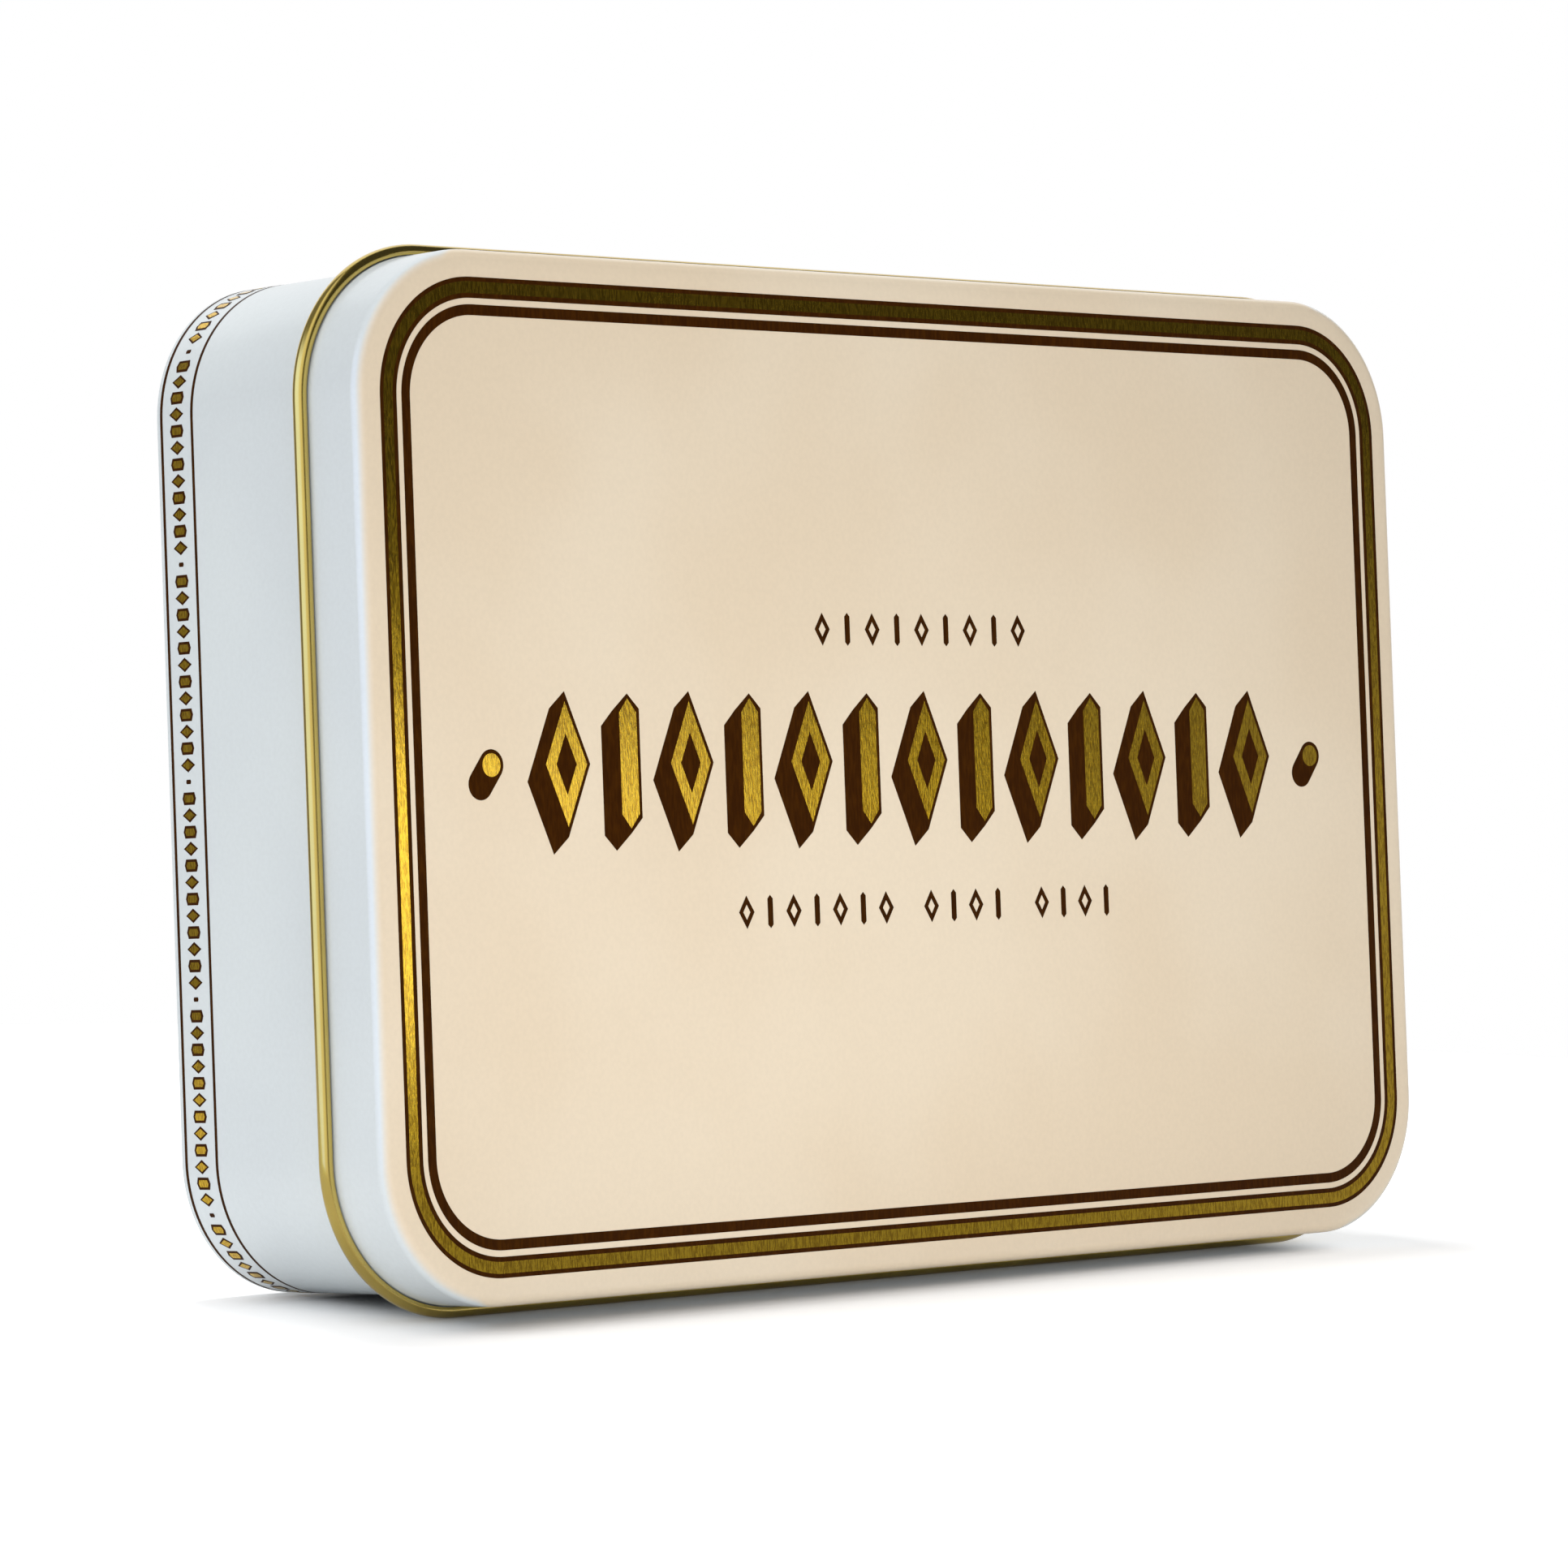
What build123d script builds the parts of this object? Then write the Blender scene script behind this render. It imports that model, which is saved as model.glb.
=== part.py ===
from build123d import *
import math
import os

# A rectangular slip-lid tin that holds rolled firelighters. It is built lying on its base,
# with +Z out of the lid, and then stood on one long side: the lid faces -Y and +Z is up.
# A sheet-metal section is drawn with X outward from an outline round the tin, and Y up.

# The lid
lid_length = 155.0
lid_width = 106.7
lid_corner_radius = 15.3
lid_depth = 9.2
lid_edge_radius = 1.5
lid_curl_diameter = 1.5
curl_turn = 300.0  # degrees of a full curl
sheet = 0.25

# The body
closed_depth = 33.8
slip_gap = 0.7  # between the lid's skirt and the wall, on each side
seat_gap = 0.15  # between the wall's mouth and the lid's panel
rim_curl_diameter = 1.4
base_recess = 2.2
base_bend_radius = 0.6
hem_layers = 3  # the wall, the base's flange and the hem's inner leg
seam_layers = 2  # what the hooked seam adds inside the wall
seam_width = 2.6
seam_groove = 0.12

# The firelighters
roll_columns = 6
roll_rows = 4
roll_gap = 0.3  # at least this between two rolls
roll_side_clearance = 0.35  # from the outer rolls to the side seam
roll_corner_clearance = 0.5
headspace = 6.45  # from the rolls to the wall's mouth
strand_count = 9
strand_depth = 1.5  # from a strand's crest to the groove beside it
roll_twist = 60.0  # degrees from one end of a roll to the other
roll_stations = 5
end_taper = 1.3  # length of a roll's drawn-in end
end_inset = 1.0

# Sizes that follow from these
half_length = lid_length / 2
half_width = lid_width / 2
body_inset = sheet + slip_gap
body_half_length = half_length - body_inset
body_half_width = half_width - body_inset
body_corner_radius = lid_corner_radius - body_inset
body_height = closed_depth - sheet - seat_gap
floor_top = base_recess + sheet
fold_middle = hem_layers * sheet / 2  # of the fold at the bottom of the hem
stood_height = lid_width + 2 * (lid_curl_diameter - sheet)
roll_length = body_height - floor_top - headspace
inner_half_length = body_half_length - sheet
inner_half_width = body_half_width - sheet
inner_corner_radius = body_corner_radius - sheet
wall_clearance = seam_layers * sheet + roll_side_clearance
diagonal_share = 1 / math.sqrt(2)


def largest_roll(half_room, count):
    # The roll that fits so many times between two walls, and once in each rounded corner
    beside_wall = (2 * (half_room - wall_clearance) + roll_gap) / count - roll_gap
    lost_in_corner = (1 - diagonal_share) * inner_corner_radius
    corner_room = half_room - lost_in_corner - diagonal_share * roll_corner_clearance
    in_corner = (2 * corner_room - (count - 1) * roll_gap) / (count - 1 + diagonal_share)
    return min(beside_wall, in_corner)


roll_diameter = min(
    largest_roll(inner_half_length, roll_columns),
    largest_roll(inner_half_width, roll_rows),
)


def outline(inset, half_x, half_y, corner):
    # A rounded rectangle that lies inside the given one by the inset
    return RectangleRounded(2 * (half_x - inset), 2 * (half_y - inset), corner - inset)


def lid_outline(inset=0):
    return outline(inset, half_length, half_width, lid_corner_radius)


def body_outline(inset=0):
    return outline(inset, body_half_length, body_half_width, body_corner_radius)


def run_round(lines, path):
    # Gives folded lines the sheet's thickness and carries them round the tin
    start = path @ 0
    outward = (path % 0).cross(Vector(0, 0, 1))
    if outward.dot(start) < 0:
        outward = -outward
    plane = Plane(origin=start, x_dir=outward, z_dir=outward.cross(Vector(0, 0, 1)))
    return sweep((plane * trace(lines, sheet)).face(), path=path)


def lid():
    # The rounded edge, the skirt and the outward curl are one folded sheet with the panel
    edge_middle = lid_depth - lid_edge_radius
    curl_middle = lid_curl_diameter / 2
    curl_radius = (lid_curl_diameter - sheet) / 2
    edge = CenterArc((-lid_edge_radius, edge_middle), lid_edge_radius - sheet / 2, 90, -90)
    skirt = Line((-sheet / 2, edge_middle), (-sheet / 2, curl_middle))
    curl = CenterArc((curl_middle - sheet, curl_middle), curl_radius, 180, curl_turn)
    shell = run_round([edge, skirt, curl], lid_outline().wire())
    panel = extrude(Pos(0, 0, lid_depth - sheet) * lid_outline(lid_edge_radius), sheet)
    return Pos(0, 0, closed_depth - lid_depth) * (shell + panel)


def body_wall():
    # From the hem's inner leg, round the fold, up the wall and into the mouth's inward curl
    leg_middle = sheet / 2 - hem_layers * sheet
    leg_top = base_recess - base_bend_radius
    curl_middle = body_height - rim_curl_diameter / 2
    curl_radius = (rim_curl_diameter - sheet) / 2
    leg = Line((leg_middle, leg_top), (leg_middle, fold_middle))
    fold = CenterArc((-fold_middle, fold_middle), fold_middle - sheet / 2, 180, 180)
    wall = Line((-sheet / 2, fold_middle), (-sheet / 2, curl_middle))
    curl = CenterArc((-rim_curl_diameter / 2, curl_middle), curl_radius, 0, curl_turn)
    ring = run_round([leg, fold, wall, curl], body_outline().wire())
    return ring + side_seam() - seam_line()


def seam_height():
    return body_height - rim_curl_diameter - floor_top


def side_seam():
    # The strip's two ends are hooked together, so more layers lie inside the wall
    bottom = (Align.MAX, Align.CENTER, Align.MIN)
    layers = Box(seam_layers * sheet, seam_width, seam_height(), align=bottom)
    return Pos(body_half_length - sheet, 0, floor_top) * layers


def seam_line():
    # Outside, the seam shows only as a fine groove along one of its edges
    bottom = (Align.CENTER, Align.CENTER, Align.MIN)
    groove = Box(2 * seam_groove, seam_groove, seam_height(), align=bottom)
    return Pos(body_half_length, seam_width / 2, floor_top) * groove


def base_panel():
    # The turned-down flange stands in the wall's hem, and the panel lies behind the hem
    flange_middle = -3 * sheet / 2
    bend_middle = floor_top - base_bend_radius
    bend_inset = sheet + base_bend_radius
    flange = Line((flange_middle, fold_middle), (flange_middle, bend_middle))
    bend = CenterArc((-bend_inset, bend_middle), base_bend_radius - sheet / 2, 0, 90)
    ring = run_round([flange, bend], body_outline().wire())
    panel = extrude(Pos(0, 0, base_recess) * body_outline(bend_inset), sheet)
    return ring + panel


def strand_ring(height, inset, turn):
    # Crests and grooves alternate round one station of a roll
    points = []
    for index in range(2 * strand_count):
        angle = math.radians(turn + index * 180 / strand_count)
        radius = roll_diameter / 2 - inset - (index % 2) * strand_depth
        points.append(Vector(radius * math.cos(angle), radius * math.sin(angle), height))
    return points


def firelighter():
    # Wood wool twisted into a short roll, with its ends drawn in a little
    middle = roll_length - 2 * end_taper
    rings = [strand_ring(0, end_inset, 0)]
    for station in range(roll_stations):
        share = station / (roll_stations - 1)
        rings.append(strand_ring(end_taper + share * middle, 0, share * roll_twist))
    rings.append(strand_ring(roll_length, end_inset, roll_twist))
    faces = [Face(Wire.make_polygon(rings[0])), Face(Wire.make_polygon(rings[-1]))]
    for low, high in zip(rings, rings[1:]):
        for index in range(len(low)):
            after = (index + 1) % len(low)
            faces.append(Face(Wire.make_polygon([low[index], low[after], high[index]])))
            faces.append(Face(Wire.make_polygon([low[after], high[after], high[index]])))
    return Solid(Shell(faces))


def roll_inset():
    # From the wall's inside to the middle of an outer roll, which also clears the corner
    radius = roll_diameter / 2
    corner_room = inner_corner_radius - radius - roll_corner_clearance
    in_corner = inner_corner_radius - diagonal_share * corner_room
    return max(wall_clearance + radius, in_corner)


def firelighters():
    # Even columns and rows that fill the tin, each roll standing on the base panel
    reach_x = inner_half_length - roll_inset()
    reach_y = inner_half_width - roll_inset()
    roll = firelighter()
    rolls = {}
    for row in range(roll_rows):
        for column in range(roll_columns):
            place = row * roll_columns + column
            x = reach_x * (2 * column / (roll_columns - 1) - 1)
            y = reach_y * (1 - 2 * row / (roll_rows - 1))
            turn = 360 / strand_count * place / (roll_rows * roll_columns)
            rolls[f"firelighter_{place + 1:02d}"] = Pos(x, y, floor_top) * Rot(0, 0, turn) * roll
    return rolls


def stand_up(shape):
    # Centred on X and Y, with the lowest edge of the lid's curl at zero
    standing = Plane(
        origin=(0, closed_depth / 2, stood_height / 2),
        x_dir=(1, 0, 0),
        z_dir=(0, -1, 0),
    )
    return standing.location * shape


nodes = {"lid": lid(), "body_wall": body_wall(), "base_panel": base_panel()}
nodes.update(firelighters())

os.makedirs("parts", exist_ok=True)
for name, shape in nodes.items():
    export_step(stand_up(shape), f"parts/{name}.step")
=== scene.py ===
import math
import random

import bmesh
import bpy
from mathutils import Matrix, Vector


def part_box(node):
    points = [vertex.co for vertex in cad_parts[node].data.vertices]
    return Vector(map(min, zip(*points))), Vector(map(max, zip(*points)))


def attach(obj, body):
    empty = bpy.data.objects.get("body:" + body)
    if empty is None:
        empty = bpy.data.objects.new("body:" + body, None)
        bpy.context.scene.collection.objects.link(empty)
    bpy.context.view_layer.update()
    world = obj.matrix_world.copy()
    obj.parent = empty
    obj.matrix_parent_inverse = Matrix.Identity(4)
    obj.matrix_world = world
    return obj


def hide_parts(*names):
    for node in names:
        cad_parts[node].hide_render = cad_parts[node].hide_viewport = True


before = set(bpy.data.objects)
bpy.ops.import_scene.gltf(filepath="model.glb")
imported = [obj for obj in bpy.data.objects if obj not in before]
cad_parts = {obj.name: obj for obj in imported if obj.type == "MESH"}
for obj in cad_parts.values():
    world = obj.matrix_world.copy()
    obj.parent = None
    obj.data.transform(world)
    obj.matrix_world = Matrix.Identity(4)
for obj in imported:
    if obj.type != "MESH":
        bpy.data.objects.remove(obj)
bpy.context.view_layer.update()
print("stage: frame loaded")

# Shapes are drawn in millimetres while the tin lies on its base, X along it and Z out of the
# lid. standUp turns them into the frame's metres, with the lid facing -Y.
mm = 0.001
lidLow, lidHigh = (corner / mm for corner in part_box("lid"))
wallLow, wallHigh = (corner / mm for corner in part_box("body_wall"))
closedDepth = wallHigh.y - lidLow.y
middleHeight = (lidLow.z + lidHigh.z) / 2
standUp = Matrix((
    (mm, 0, 0, 0),
    (0, 0, -mm, wallHigh.y * mm),
    (0, mm, 0, middleHeight * mm),
    (0, 0, 0, 1),
))

sheet = {"thickness": 0.25, "cornerSteps": 30, "curlSteps": 20}
inkHeight = 0.02  # of the print on the sheet, and of the gold on the print


# Materials: shader maths on sockets

class Wire:
    # A socket's output that can be used in sums

    def __init__(self, tree, socket):
        self.tree = tree
        self.socket = socket

    def math(self, operation, first, second=0.0):
        return addNode(self.tree, "Math", {"operation": operation}, {0: first, 1: second})

    def __add__(self, other):
        return self.math("ADD", self, other)

    def __sub__(self, other):
        return self.math("SUBTRACT", self, other)

    def __mul__(self, other):
        return self.math("MULTIPLY", self, other)

    def __truediv__(self, other):
        return self.math("DIVIDE", self, other)

    def __rsub__(self, other):
        return self.math("SUBTRACT", other, self)

    def __gt__(self, other):
        return self.math("GREATER_THAN", self, other)

    def __abs__(self):
        return self.math("ABSOLUTE", self)

    def most(self, other):
        return self.math("MAXIMUM", self, other)

    __radd__ = __add__


def feed(tree, socket, value):
    if isinstance(value, Wire):
        tree.links.new(value.socket, socket)
    elif socket.type == "RGBA":
        socket.default_value = (*value, 1)
    else:
        socket.default_value = value


def addNode(tree, kind, settings, sockets, output=0):
    # Settings come first, because some of them change the sockets
    node = tree.nodes.new("ShaderNode" + kind)
    for setting, value in settings.items():
        setattr(node, setting, value)
    for socket, value in sockets.items():
        feed(tree, node.inputs[socket], value)
    return Wire(tree, node.outputs[output])


def addRamp(tree, value, low, high, start, end):
    # A soft step from start to end, where the value goes from low to high
    sockets = {"Value": value, "From Min": low, "From Max": high, "To Min": start, "To Max": end}
    return addNode(tree, "MapRange", {"interpolation_type": "SMOOTHSTEP"}, sockets)


class Finish:
    # A material with its shader and the patterns that the tin needs

    def __init__(self, name, constants):
        self.material = bpy.data.materials.new(name)
        self.material.use_nodes = True
        self.tree = self.material.node_tree
        self.shader = self.tree.nodes["Principled BSDF"]
        self.place = self.node("TexCoord", {}, {}, "Object")
        for socket, value in constants.items():
            self.set(socket, value)

    def node(self, kind, settings, sockets, output=0):
        return addNode(self.tree, kind, settings, sockets, output)

    def set(self, socket, value):
        feed(self.tree, self.shader.inputs[socket], value)

    def axes(self):
        # The place on the object in millimetres
        return [self.node("SeparateXYZ", {}, {0: self.place}, axis) / mm for axis in range(3)]

    def noise(self, size, detail=3.0, rough=0.5):
        # Noise whose grain is so many millimetres long on X, Y and Z
        scale = tuple(1 / (length * mm) for length in size)
        spread = self.node("Mapping", {}, {"Vector": self.place, "Scale": scale})
        sockets = {"Vector": spread, "Scale": 1.0, "Detail": detail, "Roughness": rough}
        return self.node("TexNoise", {}, sockets, 0)

    def ramp(self, value, low, high, start=0.0, end=1.0):
        return addRamp(self.tree, value, low, high, start, end)

    def mix(self, share, first, second, blend="MIX"):
        settings = {"data_type": "RGBA", "blend_type": blend}
        return self.node("Mix", settings, {0: share, 6: first, 7: second}, 2)

    def bump(self, height, depth):
        # Depth is in millimetres
        self.set("Normal", self.node("Bump", {}, {"Height": height, "Distance": depth * mm}))


def linear(red, green, blue):
    # From the 0 to 255 of a screen to the light that the shader takes
    return tuple(((value / 255 + 0.055) / 1.055) ** 2.4 for value in (red, green, blue))


colours = {
    "cream": linear(233, 217, 192),
    "creamWarm": linear(229, 211, 184),
    # The pale ground is partly print and partly painted cool light from the left
    "pale": linear(221, 228, 230),
    "paleWarm": linear(216, 223, 226),
    "ink": linear(50, 23, 0),
    "inkLight": linear(64, 33, 1),
    "gold": linear(251, 206, 46),
    "goldDeep": linear(204, 158, 6),
    "lacquer": linear(216, 186, 64),
    "lacquerDeep": linear(202, 170, 50),
    "tinplate": linear(196, 199, 201),
    "tinplateDull": linear(170, 173, 176),
    "wool": linear(252, 233, 180),
    "woolDark": linear(236, 200, 130),
    # The core's darker colour is painted shade in the gaps between the shavings
    "woolCoreShade": linear(206, 166, 102),
}


# Grains are lengths in millimetres on X, Y and Z, and tones are the noise values that a mix spans
ground = {
    "cloud": (38, 38, 38),
    "cloudTones": (0.35, 0.65),
    "fleck": (0.5, 0.5, 0.5),
    "fleckTones": (0.25, 0.75),
    "fleckDark": 0.97,
    "sheen": (6, 6, 6),
    "roughness": 0.34,
    "rougher": 0.1,
    "peel": (0.7, 0.7, 0.7),
}


def printGround(made, light, warm):
    # Large soft clouds of two near tones, with a fine fleck
    cloud = made.ramp(made.noise(ground["cloud"], 2.0), *ground["cloudTones"])
    fleck = made.ramp(made.noise(ground["fleck"], 2.0), *ground["fleckTones"], ground["fleckDark"], 1.0)
    shade = made.node("CombineColor", {}, {0: fleck, 1: fleck, 2: fleck})
    return made.mix(1.0, made.mix(cloud, light, warm), shade, "MULTIPLY")


varnish = {"Coat Weight": 0.6, "Coat Roughness": 0.13}
lidGround = {
    # The turn to pale, sooner at the two ends, is partly painted light: the pale stands in for cool light
    # on the sides
    "turns": (1.4, 2.1),  # behind the lid's face, where cream turns to pale
    "soonerAtEnds": 1.38,
    "endsFrom": (17.2, 12.7),  # inside the lid's widest reach
    "speckSpacing": 21,
    "speckSize": (0.006, 0.012),  # shares of the spacing
    "speckShare": 0.6,
    "relief": 0.004,
}


def makeLidPrint():
    # The ground's colour turns on the lid's rounded edge, sooner at the two ends, and dust leaves a few
    # specks. The pale it turns to is partly print and partly painted cool light from the left.
    made = Finish("lidPrint", varnish)
    across, depth = made.axes()[:2]
    atEnd = made.ramp(abs(across), *(lidHigh.x - inset for inset in lidGround["endsFrom"]))
    behindFace = depth + closedDepth / 2
    edge = made.ramp(behindFace + atEnd * lidGround["soonerAtEnds"], *lidGround["turns"])
    front = printGround(made, colours["cream"], colours["creamWarm"])
    side = printGround(made, colours["pale"], colours["paleWarm"])
    cells = {"Vector": made.place, "Scale": 1 / (lidGround["speckSpacing"] * mm)}
    fromSpeck = made.node("TexVoronoi", {}, cells, "Distance")
    speck = made.ramp(fromSpeck, *lidGround["speckSize"], 1.0, 0.0) * lidGround["speckShare"]
    made.set("Base Color", made.mix(speck, made.mix(edge, front, side), colours["inkLight"]))
    made.set("Roughness", ground["roughness"] + made.noise(ground["sheen"]) * ground["rougher"])
    made.bump(made.noise(ground["peel"], 2.0), lidGround["relief"])
    return made.material


wallGround = {
    "seamSide": 5,  # how far in from the wall's end the stripe at the seam still shows
    "seamStripe": (1.9, 2.1),  # from the seam's middle
    "mouthStripe": (1.7, 1.9),  # behind the lid's face
    "groovePlace": 1.3,
    "grooveWidth": (0.05, 0.12),
    "brushed": (0.15, 8, 0.15),
    "bareSmoother": 0.1,
    "coat": 0.35,
    "peelShare": 0.04,
    "relief": 0.1,
}


def makeWallPrint():
    # The print stops short of the side seam and of the mouth, where plain tinplate shows
    made = Finish("wallPrint", {"Coat Roughness": 0.16})
    across, depth, height = made.axes()
    onSeamSide = across > wallHigh.x - wallGround["seamSide"]
    overSeam = height - middleHeight
    behindFace = depth + closedDepth / 2
    atSeam = made.ramp(abs(overSeam), *wallGround["seamStripe"], 1.0, 0.0) * onSeamSide
    bare = atSeam.most(made.ramp(behindFace, *wallGround["mouthStripe"], 1.0, 0.0))
    fromGroove = abs(overSeam - wallGround["groovePlace"])
    groove = made.ramp(fromGroove, *wallGround["grooveWidth"], 1.0, 0.0) * onSeamSide
    brushed = made.mix(made.noise(wallGround["brushed"]), colours["tinplateDull"], colours["tinplate"])
    # The wall's pale ground is partly print and partly painted cool light from the left
    printed = printGround(made, colours["pale"], colours["paleWarm"])
    sheen = made.noise(ground["sheen"]) * ground["rougher"] - bare * wallGround["bareSmoother"]
    made.set("Base Color", made.mix(bare, printed, brushed))
    made.set("Metallic", bare)
    made.set("Roughness", ground["roughness"] + sheen)
    made.set("Coat Weight", wallGround["coat"] - bare * wallGround["coat"])
    made.bump(made.noise(ground["peel"], 2.0) * wallGround["peelShare"] - groove, wallGround["relief"])
    return made.material


inkLook = {
    "streak": (0.3, 0.3, 1.6),
    "streakTones": (0.35, 0.75),
    "roughness": 0.32,
    "rougher": 0.12,
    "relief": 0.003,
    "reliefGrain": (0.25, 0.25, 0.6),
}


def makeInk():
    made = Finish("brownInk", {"Specular IOR Level": 0.08, "Specular Tint": (0.9, 0.5, 0.14)})
    streak = made.noise(inkLook["streak"])
    share = made.ramp(streak, *inkLook["streakTones"])
    made.set("Base Color", made.mix(share, colours["ink"], colours["inkLight"]))
    made.set("Roughness", inkLook["roughness"] + streak * inkLook["rougher"])
    made.bump(made.noise(inkLook["reliefGrain"]), inkLook["relief"])
    return made.material


clearCoat = {"Metallic": 1.0, "Coat Roughness": 0.08, "Coat IOR": 1.9}
foilLook = {
    "coat": 0.3,
    "grain": (0.14, 0.14, 0.9),
    "grainTones": (0.38, 0.6),
    "cloud": (5, 5, 9),
    "roughness": 0.04,
    "rougherInGrain": 0.06,
    "rougherInCloud": 0.04,
    "relief": 0.006,
}


def makeGoldFoil():
    # Lacquered tinplate: the steel's rolling grain runs up and down and sparkles in places
    made = Finish("goldFoil", {**clearCoat, "Coat Weight": foilLook["coat"]})
    grain = made.noise(foilLook["grain"], 2.0, 0.6)
    cloud = made.noise(foilLook["cloud"], 2.0)
    share = made.ramp(grain, *foilLook["grainTones"])
    rougher = grain * foilLook["rougherInGrain"] + cloud * foilLook["rougherInCloud"]
    made.set("Base Color", made.mix(share, colours["goldDeep"], colours["gold"]))
    made.set("Roughness", foilLook["roughness"] + rougher)
    made.bump(grain, foilLook["relief"])
    return made.material


lacquerLook = {
    "rolled": (9, 0.4, 0.4),
    "cloud": (14, 14, 14),
    "cloudTones": (0.3, 0.7),
    "roughness": 0.16,
    "rougher": 0.1,
    "relief": 0.002,
}


def makeLacquer():
    # The inside of the sheet, which the outward curl turns to the front
    made = Finish("goldLacquer", {**clearCoat, "Coat Weight": 1.0})
    rolled = made.noise(lacquerLook["rolled"])
    cloud = made.ramp(made.noise(lacquerLook["cloud"], 2.0), *lacquerLook["cloudTones"])
    made.set("Base Color", made.mix(cloud, colours["lacquerDeep"], colours["lacquer"]))
    made.set("Roughness", lacquerLook["roughness"] + rolled * lacquerLook["rougher"])
    made.bump(rolled, lacquerLook["relief"])
    return made.material


baseLook = {
    "insideFrom": (2.36, 2.3),  # before the wall's rear edge
    "cloud": (30, 30, 30),
    "cloudTones": (0.3, 0.7),
    "fine": (0.6, 0.6, 0.6),
    "roughness": 0.36,
    "insideSmoother": 0.16,
    "rougher": 0.08,
    "relief": 0.003,
}


def makeBaseCoat():
    # Pale outside and gold lacquer inside
    made = Finish("baseCoat", varnish)
    depths = (closedDepth / 2 - inset for inset in baseLook["insideFrom"])
    inside = made.ramp(made.axes()[1], *depths, 1.0, 0.0)
    cloud = made.ramp(made.noise(baseLook["cloud"], 2.0), *baseLook["cloudTones"])
    fine = made.noise(baseLook["fine"])
    outside = made.mix(cloud, colours["paleWarm"], colours["pale"])
    lacquer = made.mix(cloud, colours["lacquerDeep"], colours["lacquer"])
    rough = baseLook["roughness"] - inside * baseLook["insideSmoother"] + fine * baseLook["rougher"]
    made.set("Base Color", made.mix(inside, outside, lacquer))
    made.set("Metallic", inside)
    made.set("Roughness", rough)
    made.bump(fine, baseLook["relief"])
    return made.material


woolLook = {
    "grain": (0.5, 1.6, 0.5),
    "grainShare": 0.5,
    "tones": (0.1, 1.3),
    "wax": (3, 3, 3),
    "waxTones": (0.45, 0.6),
    "roughness": 0.72,
    "waxSmoother": 0.3,
    "waxCoat": 0.3,
}


def makeWool(name, light, dark, depth):
    # Waxed shavings: each has its own tone, and grain along it
    made = Finish(name, {"Coat Roughness": 0.3})
    tone = made.node("Attribute", {"attribute_name": "tone"}, {}, "Fac")
    grain = made.noise(woolLook["grain"])
    wax = made.ramp(made.noise(woolLook["wax"]), *woolLook["waxTones"])
    share = made.ramp(tone + grain * woolLook["grainShare"], *woolLook["tones"])
    made.set("Base Color", made.mix(share, dark, light))
    made.set("Roughness", woolLook["roughness"] - wax * woolLook["waxSmoother"])
    made.set("Coat Weight", wax * woolLook["waxCoat"])
    made.bump(grain, depth)
    return made.material


lidPrint = makeLidPrint()
wallPrint = makeWallPrint()
brownInk = makeInk()
goldFoil = makeGoldFoil()
goldLacquer = makeLacquer()
baseCoat = makeBaseCoat()
woolFibre = makeWool("woolFibre", colours["wool"], colours["woolDark"], 0.06)
# The core's darker tones are painted shade, so that the gaps between the shavings read deep
woolCoreShade = makeWool("woolCoreShade", colours["woolDark"], colours["woolCoreShade"], 0.6)
print("stage: materials made")


# Sheet metal: profiles of offsets and heights that run round a rounded rectangle

def makeOutline(standIn, corner):
    # A rounded rectangle that lies so far inside the lid's widest reach
    halfLength = (lidHigh.x - lidLow.x) / 2 - standIn
    halfWidth = (lidHigh.z - lidLow.z) / 2 - standIn
    return {"halfLength": halfLength, "halfWidth": halfWidth, "corner": corner}


def moveOnto(vert, outline, offset, height):
    middle = Vector((
        math.copysign(outline["halfLength"] - outline["corner"], vert.co.x),
        math.copysign(outline["halfWidth"] - outline["corner"], vert.co.y),
    ))
    away = (vert.co.xy - middle).normalized()
    vert.co.xy = middle + away * (outline["corner"] + offset)
    vert.co.z = height


def roundedFace(bm, outline, offset, height):
    before = set(bm.faces)
    corners = bmesh.ops.create_grid(bm, x_segments=1, y_segments=1, size=1)["verts"]
    size = Vector((outline["halfLength"] + offset, outline["halfWidth"] + offset, 1))
    bmesh.ops.scale(bm, verts=corners, vec=size)
    bmesh.ops.bevel(
        bm, geom=corners, offset=outline["corner"] + offset, segments=sheet["cornerSteps"],
        profile=0.5, affect="VERTICES", material=-1,
    )
    face = next(made for made in bm.faces if made not in before)
    for vert in face.verts:
        moveOnto(vert, outline, offset, height)
    return face


def runRound(bm, outline, profile, finishes, capped=False):
    # Each step of the profile is a strip with its own finish, or none where it is left open
    face = roundedFace(bm, outline, *profile[0])
    edges = list(face.edges)
    if not capped:
        bmesh.ops.delete(bm, geom=[face], context="FACES_ONLY")
    dropped = []
    for (offset, height), finish in zip(profile[1:], finishes):
        grown = bmesh.ops.extrude_edge_only(bm, edges=edges)["geom"]
        verts = {item for item in grown if isinstance(item, bmesh.types.BMVert)}
        sides = (item for item in grown if isinstance(item, bmesh.types.BMEdge))
        edges = [edge for edge in sides if verts.issuperset(edge.verts)]
        for vert in verts:
            moveOnto(vert, outline, offset, height)
        for strip in (item for item in grown if isinstance(item, bmesh.types.BMFace)):
            strip.material_index = finish or 0
            if finish is None:
                dropped.append(strip)
    bmesh.ops.delete(bm, geom=dropped, context="FACES")


def arc(centre, radius, start, turn, steps):
    # Points on an arc of a profile, both ends included
    points = []
    for step in range(steps + 1):
        angle = math.radians(start + turn * step / steps)
        points.append((centre[0] + radius * math.cos(angle), centre[1] + radius * math.sin(angle)))
    return points


def shadeSmooth(mesh, sharpAngle=35):
    mesh.polygons.foreach_set("use_smooth", [True] * len(mesh.polygons))
    mesh.set_sharp_from_angle(angle=math.radians(sharpAngle))


def addObject(name, data):
    made = bpy.data.objects.new(name, data)
    bpy.context.scene.collection.objects.link(made)
    return made


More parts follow.
